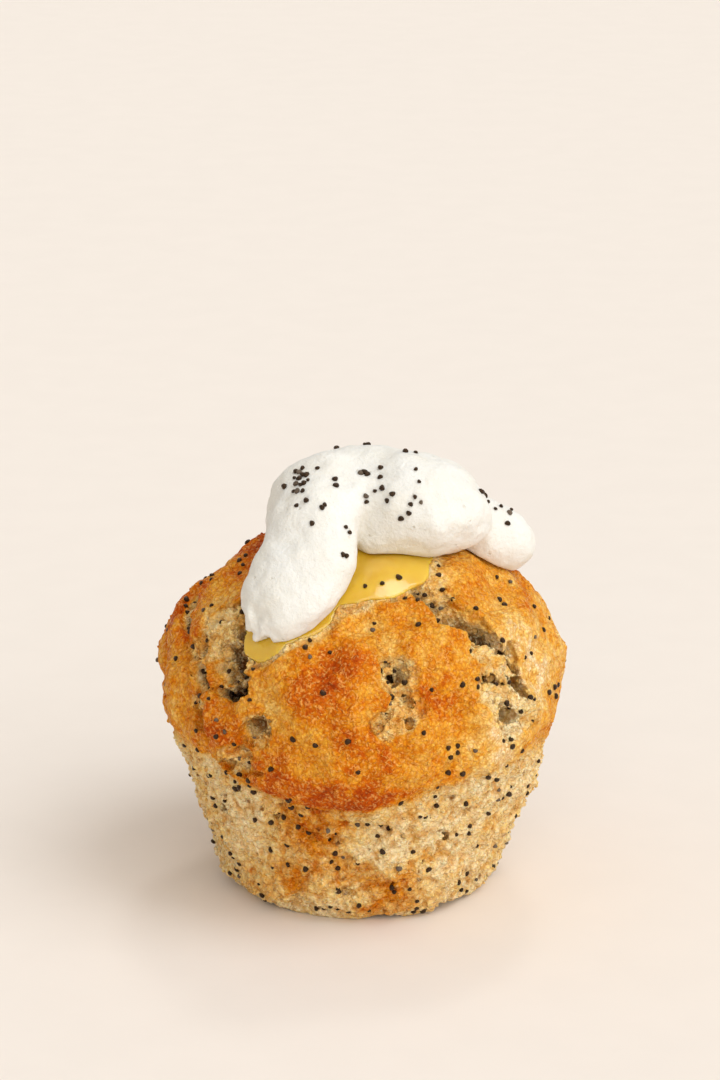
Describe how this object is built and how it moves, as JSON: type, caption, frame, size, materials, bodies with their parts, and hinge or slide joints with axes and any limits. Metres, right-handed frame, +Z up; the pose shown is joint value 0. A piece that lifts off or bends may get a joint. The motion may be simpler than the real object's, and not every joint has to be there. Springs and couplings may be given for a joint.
{
  "type": "muffin",
  "caption": "Domed, cracked poppy-seed muffin with a flared cup, a hollow of lemon curd on its crown and a lobed spoonful of whipped cream.",
  "frame": {"origin": "centre of the flat foot the muffin stands on", "axes": "+Z up through the crown, -Y to the front where the curd and the tip of the cream show, +X to its right"},
  "size_m": [0.0764, 0.0769, 0.0852],
  "materials": {
    "cake": "baked golden-brown crust with a sugary grain, stands in as matte",
    "curd": "glossy yellow curd",
    "cream": "soft satin white cream"
  },
  "bodies": {
    "root": {"muffin_cake": "cake", "lemon_curd": "curd", "whipped_cream": "cream"}
  },
  "joints": []
}
